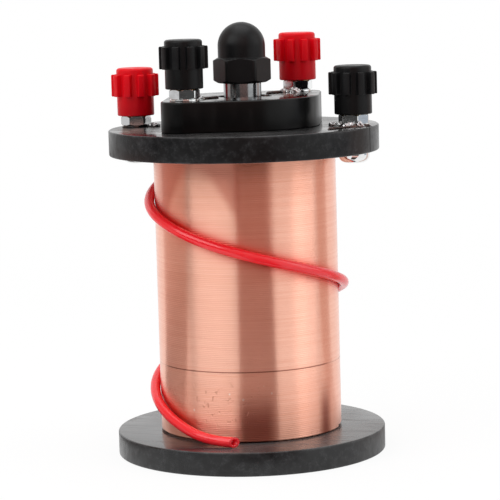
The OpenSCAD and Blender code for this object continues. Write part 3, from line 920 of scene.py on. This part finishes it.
def coreKnobShape(plan, bottom):
    # rows up from the hole in the foot, over the hexagon, cut by a cone at each end, and up the dome
    angle = around(plan["columns"])
    limit, drop = hexCone(plan)
    dome = np.radians(np.linspace(0, plan["domeEnd"], plan["domeRings"]))
    chamfer = plan["chamferRadius"]
    hole = plan["holeRadius"]
    edge = plan["edge"]
    domeRadius = plan["domeRadius"]
    ease = plan["hexEase"]
    hexTop = plan["hexHeight"]
    neckLow, neckHigh = plan["neckUp"]
    r = np.concatenate([
        [hole, hole, hole + edge, chamfer - edge],
        limit, limit[::-1],
        [chamfer - plan["hexInset"], domeRadius + plan["neckOut"], domeRadius],
        domeRadius * np.cos(dome),
    ])
    z = np.concatenate([
        [plan["holeDepth"], edge, 0, 0],
        ease + drop, hexTop - ease - drop[::-1],
        [hexTop, hexTop + neckLow, hexTop + neckHigh],
        hexTop + plan["domeStraight"] + domeRadius * np.sin(dome),
    ])
    points = ringPoints(np.minimum(r[:, None], hexReach(angle, plan)), bottom + z[:, None], angle)
    return gridShape(turned(points, plan["turn"]))


makePiece(
    "core_knob_dome", coreKnobShape(coreKnobPlan, knobLevel), domePlastic,
    "core", ["core_knob"], sharp=24,
)
print("core made")


# Binding posts

rings = {
    # lead holes are measured from the post's axis, x pointing out
    "outer": {
        "body": "secondary", "plate": "top_flange", "leads": "secondary_leads",
        "lugs": "lug_plating", "hole": (-6.019, -2.75),
    },
    "inner": {
        "body": "primary", "plate": "primary_cap", "leads": "primary_leads",
        "lugs": "bright_plating", "hole": (-13.2, 0.0),
    },
}
posts = {
    # turn of the nut and of the ribs, in degrees from the direction that points out from the axis
    "outer_red": {"ring": "outer", "colour": "red", "nutTurn": 23, "ribTurn": 17},
    "outer_black": {"ring": "outer", "colour": "black", "nutTurn": 59, "ribTurn": 17},
    "inner_red": {"ring": "inner", "colour": "red", "nutTurn": 29, "ribTurn": 28},
    "inner_black": {"ring": "inner", "colour": "black", "nutTurn": 29, "ribTurn": 28},
}
for name, post in posts.items():
    low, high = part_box(name + "_insert")
    middle = (low + high) / 2 / mm
    post["angle"] = math.degrees(math.atan2(middle.y, middle.x))
    post["centre"] = (middle.x, middle.y)
    post["clamp"] = low.z / mm
    post["seat"], post["lugTop"] = nodeSize(post["ring"] + "_solder_lugs")[1:]
for ringName, ring in rings.items():
    ring["posts"] = [post for post in posts.values() if post["ring"] == ringName]
    ring["plateBottom"], ring["plateTop"] = nodeSize(ring["plate"])[1:]

knobPlan = {
    "body": 5.5,
    "skirt": 5.8,       # height of the plain skirt
    "ribReach": 7.1,
    "ribs": 10,
    # height up the knob, radius of the body, share of the ribs' reach
    "rows": [
        (10.55, 4.05, 0), (0.3, 4.05, 0), (0, 4.35, 0), (0, 5.2, 0), (0.06, 5.38, 0), (0.25, 5.5, 0),
        (5.6, 5.5, 0), (5.74, 5.5, 0.02), (5.78, 5.5, 0.06), (5.8, 5.5, 0.86), (5.86, 5.5, 0.96),
        (6.05, 5.5, 1), (11.85, 5.5, 1), (12.14, 5.5, 0.97), (12.26, 5.5, 0.9), (12.3, 5.5, 0.8),
        (12.32, 5.5, 0.05), (12.37, 5.5, 0), (13.4, 5.5, 0), (13.65, 5.46, 0), (13.88, 5.33, 0),
        (14.05, 5.13, 0), (14.16, 4.9, 0), (14.2, 4.65, 0), (14.19, 4.3, 0), (14.12, 4.1, 0),
        (14.1, 3.9, 0), (14.1, 0.4, 0),
    ],
    # degrees from a rib's middle, share of its reach there
    "ribSection": [
        (0, 1), (3.4, 1), (6.3, 1), (7.2, 0.985), (7.7, 0.93), (8.3, 0.72),
        (9.6, 0.16), (10.2, 0.04), (11.2, 0), (14.5, 0), (18, 0),
    ],
}


def knobShape(plan):
    # radius = body + share up the knob * share round the rib * (rib - body)
    section = np.array(plan["ribSection"])
    rib = np.vstack([section[:0:-1] * (-1, 1), section[:-1]])
    angle = (np.arange(plan["ribs"])[:, None] * 360 / plan["ribs"] + rib[:, 0]).ravel()
    share = np.tile(rib[:, 1], plan["ribs"])
    z, body, lift = (column[:, None] for column in np.array(plan["rows"]).T)
    radius = body + lift * share * (plan["ribReach"] - plan["body"])
    return gridShape(ringPoints(radius, z, np.radians(angle)))


insertPlan = {"radius": 4.0, "bore": 2.55, "edge": 0.25, "sunk": 0.5, "columns": 64}
nutPlan = {
    "acrossFlats": 8.0, "bore": 2.56, "mouthEdge": 0.25,
    "cornerCut": 0.985, "chamferRadius": 3.78, "columns": 96,
}


def nutShape(plan, low, high):
    # a hexagon cut by a cone at each end, with a bore: rows go round its section
    angle = around(plan["columns"])
    limit, drop = hexCone(plan)
    bore = plan["bore"]
    edge = plan["mouthEdge"]
    r = np.concatenate([[bore, bore + edge], limit, limit[::-1], [bore + edge, bore]])
    z = np.concatenate([[low + edge, low], low + drop, high - drop[::-1], [high, high - edge]])
    r = np.minimum(r[:, None], hexReach(angle, plan))
    return gridShape(ringPoints(r, z[:, None], angle), wrapRows=True)


screwPlan = {
    "radius": 2.5,
    "pitch": 0.8,
    "threadDepth": 0.3,
    "headRadius": 4.6,
    "headHeight": 3.6,
    "headEase": 0.35,    # how much flatter the head's face is than its full height
    "headEdge": 0.1,
    "fillet": 0.05,      # between head and shank
    "recessWidth": 1.1,
    "recessReach": 2.3,
    "recessDepth": 1.8,
    "recessEdge": 0.25,  # over which the cross's sides fall, and its ends
    "recessEnd": 0.6,
    "faceStart": 0.06,   # the innermost ring of the head's flat middle, as a share of it
    "faceRings": 26,
    "shoulderTurn": 80,  # degrees that the head's shoulder rounds over
    "shoulderRings": 9,
    "crest": 1.25,       # how far up the wave the thread is cut flat
    "threadRings": 8,    # to a turn of the thread
    "threadGaps": (0.1, 0.5),   # from the shank up to the thread, and from the thread to the stud's end
    "tip": [(0.35, 0.35), (0.7, 0.0)],  # the end's two rings: how far in, and how far down
    "columns": 64,
}


def screwShape(plan, low, high, grip):
    # head: a flat middle and a round shoulder, with a cross pressed into it; then the plain shank,
    # and above the grip a thread, whose depth is a triangle wave of height / pitch - angle / full turn
    angle = around(plan["columns"])
    radius = plan["radius"]
    head = plan["headRadius"]
    headTop = low + plan["headHeight"]
    low = low + plan["headEase"]
    flat = head / 2
    inward = np.linspace(plan["faceStart"], 1, plan["faceRings"])[:, None] * flat
    x = np.abs(inward * np.cos(angle))
    y = np.abs(inward * np.sin(angle))
    cross = np.clip((plan["recessWidth"] / 2 - np.minimum(x, y)) / plan["recessEdge"] + 0.5, 0, 1)
    cross = cross * np.clip((plan["recessReach"] - np.maximum(x, y)) / plan["recessEnd"], 0, 1)
    face = ringPoints(inward, low + plan["recessDepth"] * cross, angle)
    curve = np.radians(np.linspace(plan["shoulderTurn"], 0, plan["shoulderRings"]))[:, None]
    brow = headTop - plan["headHeight"] / 4
    shoulder = ringPoints(flat + (head - flat) * np.cos(curve), brow - (brow - low) * np.sin(curve), angle)
    # the head's upper edge and the shank, as radius and height
    edge = plan["headEdge"]
    fillet = plan["fillet"]
    profile = np.array([
        (head, headTop - edge), (head - edge, headTop), (radius + fillet, headTop),
        (radius, headTop + fillet), (radius, headTop + grip),
    ])
    shank = ringPoints(profile[:, :1], profile[:, 1:], angle)
    below, above = plan["threadGaps"]
    up = np.arange(headTop + grip + below, high - above, plan["pitch"] / plan["threadRings"])[:, None]
    phase = np.mod(up / plan["pitch"] - angle / (2 * np.pi), 1)
    depth = plan["threadDepth"] * np.clip(plan["crest"] - np.abs(4 * phase - 2), 0, 1)
    thread = ringPoints(radius - depth, up, angle)
    tip = np.array(plan["tip"])
    end = ringPoints(radius - tip[:, :1], high - tip[:, 1:], angle)
    return gridShape(np.concatenate([face, shoulder, shank, thread, end]))


def placed(shape, post, turn=0, lift=0):
    # a shape turned to the post's direction and more, and moved to the post's axis and up
    return turnedShape(shape, post["angle"] + turn, (*post["centre"], lift))


for name, post in posts.items():
    slot = "knob_" + post["colour"]
    skirtTop = (post["clamp"] + knobPlan["skirt"]) * mm
    knobFinish = plasticFinish(name + "_knob_plastic", plasticLooks[slot + "_plastic"], skirtTop)
    knob = placed(knobShape(knobPlan), post, post["ribTurn"], post["clamp"])
    makePiece(name + "_ribbed_knob", knob, knobFinish, name + "_knob", [name + "_knob"], sharp=28)
    edge = insertPlan["edge"]
    foot = post["clamp"] + insertPlan["sunk"]
    top = nodeSize(name + "_insert")[2]
    bush = ringSolid(insertPlan["radius"], insertPlan["bore"], foot, top, edge, edge, insertPlan["columns"])
    makePiece(
        name + "_brass_bush", placed(bush, post), metals["insert_brass_metal"],
        name + "_insert", [name + "_insert"],
    )

lugPlan = {"merge": 0.002 * mm, "edge": 0.08 * mm, "segments": 2}
for ringName, ring in rings.items():
    body = ring["body"]
    nut = nutShape(nutPlan, *nodeSize(ringName + "_hex_nuts")[1:])
    nuts = joined([placed(nut, post, post["nutTurn"]) for post in ring["posts"]])
    makePiece(
        ringName + "_plated_nuts", nuts, metals["bright_plating"],
        body, [ringName + "_hex_nuts"], sharp=24,
    )
    foot, top = nodeSize(ringName + "_post_screws")[1:]
    screw = screwShape(screwPlan, foot, top, ring["posts"][0]["seat"] - foot - screwPlan["headHeight"])
    screws = joined([placed(screw, post) for post in ring["posts"]])
    makePiece(
        ringName + "_threaded_screws", screws, metals["bright_plating"],
        body, [ringName + "_post_screws"],
    )
    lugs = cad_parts[ringName + "_solder_lugs"]
    lugs.data.materials.clear()
    lugs.data.materials.append(metals[ring["lugs"]])
    merge = lugs.modifiers.new("merge", "WELD")
    merge.merge_threshold = lugPlan["merge"]
    ease = lugs.modifiers.new("ease", "BEVEL")
    ease.width = lugPlan["edge"]
    ease.segments = lugPlan["segments"]
    ease.limit_method = "ANGLE"
print("posts made")


# Leads and solder

leadPlan = {
    "radius": 0.34,
    "bend": 0.5,
    "bendRings": 9,
    "runHeight": 0.3,           # middle of the wire above the seat
    "beadAway": 6.019,          # from the post's axis to the middle of the solder
    "beadSize": (1.2, 1.2, 0.6),
    "beadSeed": 11,
}


def leadShape(plan, hole, bottom):
    # straight up out of the hole, a quarter turn, then level to the solder
    start = np.array(hole)
    way = np.array([-plan["beadAway"], 0.0]) - start
    run = np.linalg.norm(way)
    way = np.append(way / run, 0)
    upright = np.array([0, 0, 1])
    tip = np.radians(np.concatenate([[90, 90], np.linspace(90, 0, plan["bendRings"]), [0]]))
    bend = plan["bend"]
    level = plan["runHeight"]
    out = np.concatenate([[0, 0], bend * (1 - np.sin(tip[2:-1])), [run]])
    up = np.concatenate([[bottom, 0], level - bend + bend * np.cos(tip[2:-1]), [level]])
    path = np.append(start, 0) + out[:, None] * way + up[:, None] * upright
    along = np.cos(tip)[:, None] * way + np.sin(tip)[:, None] * upright
    side = np.broadcast_to(np.cross(way, upright), path.shape)
    return sweptTube(path, along, side, plan["radius"])


def beadShape(centre, size, seed, rough=0.12, rows=16, columns=48):
    # a dome, sin and cos of a quarter turn, with a few waves round it and up it
    wave = np.random.default_rng(seed).uniform(0, 2 * np.pi, 3)
    angle = around(columns)
    up = np.radians(np.linspace(2, 90, rows))[:, None]
    lump = 1 + rough * (np.sin(2 * angle + wave[0]) + 0.7 * np.sin(3 * angle + 4 * up + wave[1]))
    lump = lump + rough * 0.8 * np.sin(5 * angle - 6 * up + wave[2])
    points = lump[..., None] * ringPoints(np.sin(up), np.cos(up), angle) * size
    return gridShape(points + np.array(centre))


for ringName, ring in rings.items():
    wires = [
        placed(leadShape(leadPlan, ring["hole"], ring["plateBottom"] - post["seat"]), post, lift=post["seat"])
        for post in ring["posts"]
    ]
    makePiece(ringName + "_lead_wires", joined(wires), enamel, ring["body"], [ring["leads"]])
    beadSpot = (-leadPlan["beadAway"], 0, 0)
    beads = [
        placed(beadShape(beadSpot, leadPlan["beadSize"], leadPlan["beadSeed"] + k), post, lift=post["lugTop"])
        for k, post in enumerate(ring["posts"])
    ]
    makePiece(
        ringName + "_solder_beads", joined(beads), metals["solder_grey"],
        ring["body"], [], sharp=60,
    )

dressingPlan = {
    # spots in the photograph's frame: x, y, half sizes along x and y, height, seed, roughness
    "flange_solder_crumbs": {
        "ring": "outer", "kind": "solder",
        "spots": [(30.6, -15.0, 1.5, 0.8, 1.0, 22, 0.2), (33.8, -14.5, 1.2, 0.8, 1.3, 23, 0.2)],
    },
    "flange_flux_stains": {
        "ring": "outer", "kind": "flux",
        "spots": [
            (27.6, -17.2, 1.8, 0.8, 0.14, 24, 0.2), (31.8, -16.0, 2.3, 1.0, 0.3, 25, 0.22),
            (35.6, -13.2, 1.4, 1.1, 0.5, 26, 0.2),
        ],
    },
    "cap_solder_crumb": {
        "ring": "inner", "kind": "solder", "spots": [(16.06, 10.79, 1.5, 0.8, 1.2, 21, 0.12)],
    },
    "cap_flux_stain": {
        "ring": "inner", "kind": "flux", "spots": [(7.0, -3.4, 1.6, 0.6, 0.25, 27, 0.2)],
    },
}
tailPlan = {
    "radius": 0.27,
    "dip": 1.2,         # how deep a tail starts in the board, and the share of its length where it is out
    "dipShare": 0.08,
    "steps": 40,
    # stretches of the secondary's leads on the flange: start, a point it bends towards, end
    "tails": [
        ((23.6, -23.3), (28.9, -18.3), (34.4, -12.9)),
        ((-28.4, 19.8), (-24.6, 15.2), (-26.0, 9.0)),
    ],
}


def fromPhoto(x, y, z=0.0):
    # a place in the photograph's frame turned into the part's
    return turned(np.array([x, y, z]), cameraPlan["frameTurn"])


def spotShape(x, y, halfX, halfY, height, seed, rough, level):
    # a bead of those half sizes, turned with the photograph's frame and set down on the board
    bead = beadShape((0, 0, 0), (halfX, halfY, height), seed, rough)
    return turnedShape(bead, cameraPlan["frameTurn"], fromPhoto(x, y, level))


def tailShape(points, plan, level):
    # a + 2(b-a)t + (a-2b+c)t^2 on the board, dipping into it at the start by a quarter wave
    a, b, c = (fromPhoto(*point) for point in points)
    t = np.linspace(0, 1, plan["steps"])[:, None]
    path = a + 2 * (b - a) * t + (a - 2 * b + c) * t**2
    dip = plan["dip"] * np.cos(np.minimum(t[:, 0] / plan["dipShare"], 1) * np.pi / 2)
    path[:, 2] = level + plan["radius"] - dip
    along = unit(np.gradient(path, axis=0))
    side = unit(np.cross(along, (0, 0, 1)))
    return sweptTube(path, along, side, plan["radius"])


tails = joined([tailShape(tail, tailPlan, rings["outer"]["plateTop"]) for tail in tailPlan["tails"]])
makePiece("secondary_lead_tails", tails, enamel, "secondary", [])
dressing = {"solder": (metals["solder_grey"], "plated_metal"), "flux": (enamel, "lead_enamel")}
for name, plan in dressingPlan.items():
    ring = rings[plan["ring"]]
    finish, slot = dressing[plan["kind"]]
    shape = joined([spotShape(*spot, ring["plateTop"]) for spot in plan["spots"]])
    makePiece(name, shape, finish, ring["body"], [], sharp=60)
print("leads soldered")


# Studio: in metres, and in degrees in the photograph's frame, where the camera stands at -90

studioPlan = {
    "skyLight": 0.62,
    "softboxes": [
        # direction, height of the middle, distance, width, height, brightness
        (-138, 0.72, 0.9, 1.05, 0.7, 1.7),
        (-11, 0.48, 0.9, 0.6, 0.7, 1.1),
    ],
    "aim": (0, 0, 0.06),
    "topLight": (1.1, 0.9, 1.7),    # height, width, brightness
    "paints": {
        "warmCard": (0.92, 0.54, 0.475),
        "leftFloor": (0.92, 0.62, 0.55),
        "leftCard": (0.64, 0.47, 0.41),
        "rightCard": (0.72, 0.56, 0.51),
        "shadeCard": (0.06, 0.04, 0.035),
        "greyCard": (0.62, 0.62, 0.63),
        "steelCard": (0.42, 0.46, 0.52),
        "darkCard": (0.06, 0.06, 0.06),
    },
    # cards on the floor: from and to direction, near and far edge, paint
    "floorCards": [
        (142, 191, 0.06, 0.16, "shadeCard"), (142, 190, 0.16, 0.6, "leftFloor"),
        (-102, -61, 0.06, 0.2, "shadeCard"), (-103, -58, 0.2, 0.4, "warmCard"),
        (-104, -57, 0.4, 0.6, "darkCard"), (9, 30, 0.06, 0.6, "rightCard"),
    ],
    "floorLift": 0.0005,
    # upright cards: from and to direction, lower and upper edge, paint
    "wallCards": [
        (142, 191, 0.0, 0.13, "greyCard"), (142, 191, 0.13, 0.9, "leftCard"),
        (-105, -56, 0.0, 0.17, "darkCard"), (-104, -56, 0.17, 0.9, "warmCard"),
        (-14, 8, 0.0, 0.11, "steelCard"), (9, 30, 0.0, 0.9, "rightCard"),
        (191, 235, 0.0, 0.2, "darkCard"), (235, 255, 0.0, 0.26, "darkCard"),
    ],
    "wallAway": 0.6,
    "cardColumns": 13,
    "floorHalf": 4.0,
    "floorPaint": (0.7, 0.7, 0.7),
    "floorWhite": (0.95, 0.95, 0.95),   # what the eye sees in its place
    "floorGlow": 0.9,       # how much of the floor's white is its own, close to the object
    "floorReach": (0.1, 0.6),   # where that share starts to rise, and where it is all
}


def onlySeenBy(finish, seen, plain):
    # what camera, glossy and see-through rays see, and what lights everything else
    path = finish.node("LightPath")
    either = finish.maths("MAXIMUM", path.also("Is Camera Ray"), path.also("Is Glossy Ray"))
    either = finish.maths("MAXIMUM", either, path.also("Is Transmission Ray"))
    return finish.node("MixShader", {0: either, 1: plain, 2: seen})


def lightWorld(plan):
    # full white to the rays that see it, and a dimmer even light to the rest
    sky = Finish("studio", bpy.data.worlds)
    white = sky.node("Background", {"Color": (1, 1, 1), "Strength": 1.0})
    soft = sky.node("Background", {"Color": (1, 1, 1), "Strength": plan["skyLight"]})
    bpy.context.scene.world = sky.ends("World", onlySeenBy(sky, white, soft))


def areaLight(name, place, target, width, height, brightness):
    # power that gives a one-sided panel that brightness: pi * area * brightness
    light = bpy.data.lights.new(name, "AREA")
    light.shape = "RECTANGLE"
    light.size = width
    light.size_y = height
    light.energy = math.pi * width * height * brightness
    back = unit(np.array(place, float) - np.array(target, float))
    right = unit(np.cross((0, 1, 0) if abs(back[2]) > 0.99 else (0, 0, 1), back))
    pose = np.eye(4)
    pose[:3] = np.stack([right, np.cross(back, right), back, place], axis=1)
    addObject(name, light).matrix_world = Matrix(pose.tolist())


def stageMesh(name, points, finish):
    # an open sheet of points, rows x columns x 3 in metres, that isn't part of the object
    rows, columns = points.shape[:2]
    index = np.arange(rows * columns).reshape(rows, columns)
    quads = np.stack([index[:-1, :-1], index[:-1, 1:], index[1:, 1:], index[1:, :-1]], -1).reshape(-1, 4)
    mesh = bpy.data.meshes.new(name)
    mesh.from_pydata(points.reshape(-1, 3).tolist(), [], quads.tolist())
    mesh.materials.append(finish)
    sheet = addObject(name, mesh)
    return sheet


def floorFinish(plan):
    # white to the eye with the object's shadow in it, plain pale paint to every other ray
    f = Finish("pale_floor")
    paint = f.node("BsdfDiffuse", {"Color": plan["floorPaint"]})
    glow = f.node("Emission", {"Color": (1, 1, 1), "Strength": 1.0})
    bright = f.node("BsdfDiffuse", {"Color": plan["floorWhite"]})
    share = plan["floorGlow"] + (1 - plan["floorGlow"]) * f.ramp(f.cylinder()[1], *plan["floorReach"])
    seen = f.node("MixShader", {0: share, 1: bright, 2: glow})
    return f.ends("Material", onlySeenBy(f, seen, paint))


def glowFinish(name, colour):
    # the colour itself, whatever light falls on it
    f = Finish(name)
    return f.ends("Material", f.node("Emission", {"Color": colour, "Strength": 1.0}))


def setStudio(plan):
    # softboxes stand round the object at direction + frame turn and face it; a card is a strip of a cylinder
    # or of the floor between two directions, seen in reflections alone
    lightWorld(plan)
    extent = np.array([-plan["floorHalf"], plan["floorHalf"]])
    x, y = np.meshgrid(extent, extent)
    stageMesh("floor", np.stack([x, y, np.zeros_like(x)], -1), floorFinish(plan))
    turn = cameraPlan["frameTurn"]
    for k, (direction, lift, distance, width, height, brightness) in enumerate(plan["softboxes"]):
        place = ringPoints(distance, lift, math.radians(direction + turn))
        areaLight("softbox_%d" % k, place, plan["aim"], width, height, brightness)
    lift, width, brightness = plan["topLight"]
    areaLight("top_light", (0, 0, lift), (0, 0, 0), width, width, brightness)
    paints = {kind: glowFinish(kind, colour) for kind, colour in plan["paints"].items()}
    cards = [(row, np.array(row[2:4])[:, None], plan["floorLift"]) for row in plan["floorCards"]]
    cards += [(row, plan["wallAway"], np.array(row[2:4])[:, None]) for row in plan["wallCards"]]
    for k, (row, radius, z) in enumerate(cards):
        angle = np.radians(np.linspace(row[0], row[1], plan["cardColumns"]) + turn)
        sheet = stageMesh("card_%d" % k, ringPoints(radius, z, angle), paints[row[4]])
        sheet.visible_camera = False
        sheet.visible_diffuse = False
        sheet.visible_transmission = False
        sheet.visible_shadow = False
    bpy.context.scene.view_settings.view_transform = "Standard"


setStudio(studioPlan)
print("studio set")
